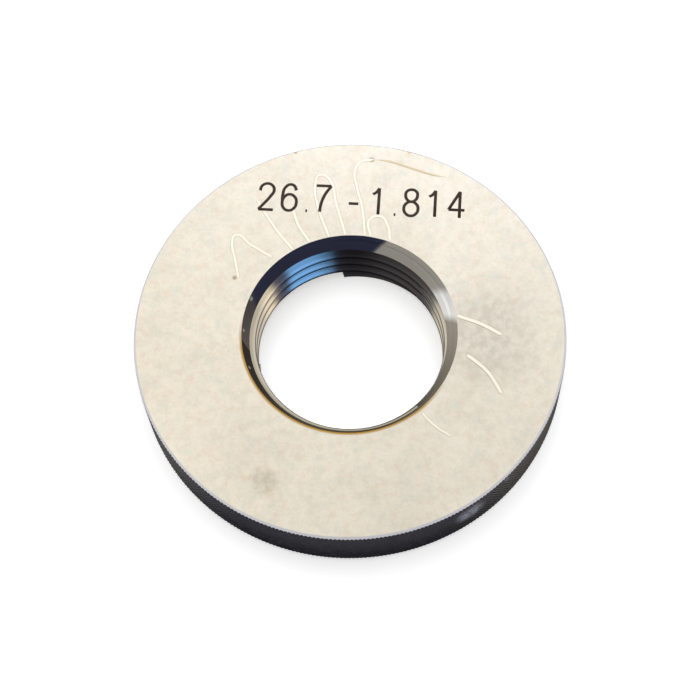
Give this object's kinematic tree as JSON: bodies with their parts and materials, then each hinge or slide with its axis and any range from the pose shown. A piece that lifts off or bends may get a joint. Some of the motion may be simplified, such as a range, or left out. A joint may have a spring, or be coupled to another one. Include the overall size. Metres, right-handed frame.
{
  "type": "thread ring gauge",
  "caption": "Flat steel ring gauge with a right-hand tapered pipe thread through its bore, a chamfered mouth, lapped faces and a blackened knurled rim.",
  "frame": {"origin": "centre of the small-end face, which the ring rests on", "axes": "+Z along the thread's axis, from the small-end face to the marked large-end face; +Y points to the marking's side"},
  "size_m": [0.054, 0.054, 0.0086],
  "materials": {
    "gauge_steel": "lapped faces, blackened knurled rim and ground thread"
  },
  "bodies": {
    "root": {"gauge_ring": "gauge_steel"}
  },
  "joints": []
}
